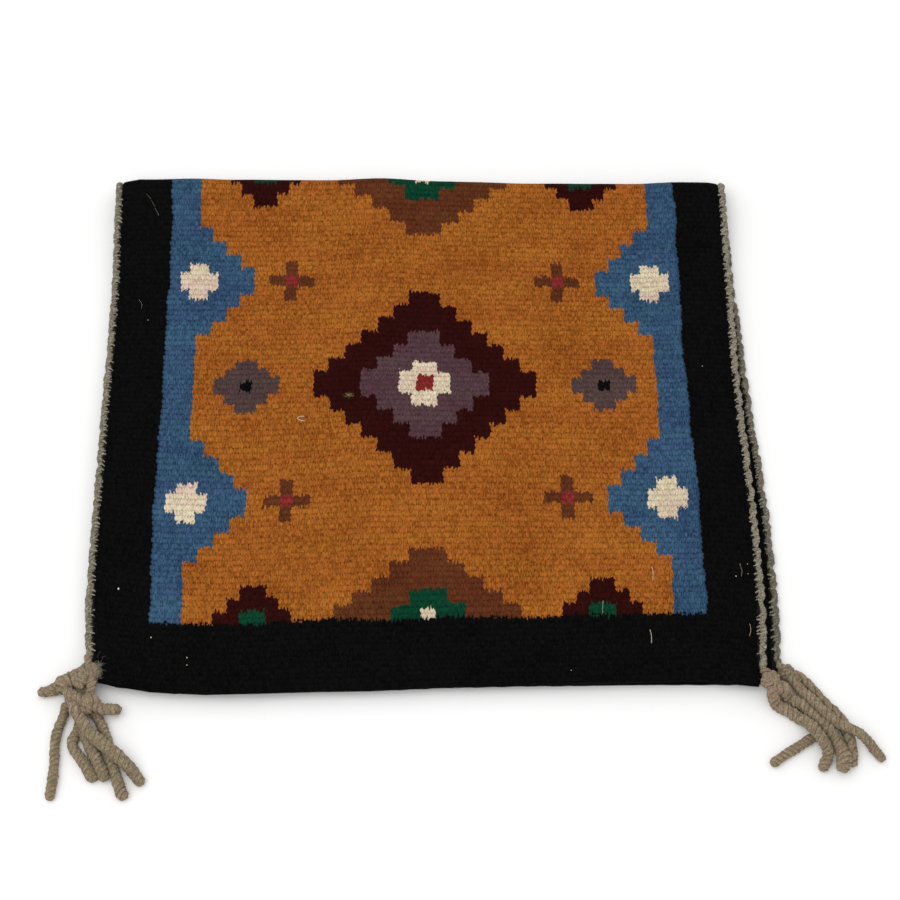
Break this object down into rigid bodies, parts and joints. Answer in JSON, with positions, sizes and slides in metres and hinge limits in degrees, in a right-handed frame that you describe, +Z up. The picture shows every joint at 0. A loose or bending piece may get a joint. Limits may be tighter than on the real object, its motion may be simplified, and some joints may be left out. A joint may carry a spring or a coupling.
{
  "type": "navajo rug, folded in half",
  "caption": "Small hand-woven wool rug folded once and lying flat, with two-ply end cords, corner knots and loose yarn tassels.",
  "frame": {"origin": "on the surface that the rug lies on, under the middle of the folded rug", "axes": "+X along the fold, from the left end cord to the right one; +Y from the open front edges to the fold; +Z up"},
  "size_m": [0.4457, 0.3894, 0.0138],
  "materials": {
    "woven_wool": "weft-faced tapestry weave in dyed wool, matt, black border round an ochre field",
    "cord_yarn": "undyed grey-brown twisted wool yarn, matt and slightly felted"
  },
  "bodies": {
    "root": {"rug_cloth": "woven_wool", "end_cord_left": "cord_yarn", "end_cord_right": "cord_yarn", "knot_left_upper": "cord_yarn", "knot_left_lower": "cord_yarn", "knot_right_upper": "cord_yarn", "knot_right_lower": "cord_yarn", "strand_left_outer": "cord_yarn", "strand_left_loop": "cord_yarn", "strand_left_inner": "cord_yarn", "strand_left_middle": "cord_yarn", "strand_left_over": "cord_yarn", "stub_left_outer": "cord_yarn", "stub_left_inner": "cord_yarn", "strand_right_under": "cord_yarn", "strand_right_back": "cord_yarn", "strand_right_middle": "cord_yarn", "strand_right_long": "cord_yarn", "strand_right_front": "cord_yarn"}
  },
  "joints": []
}
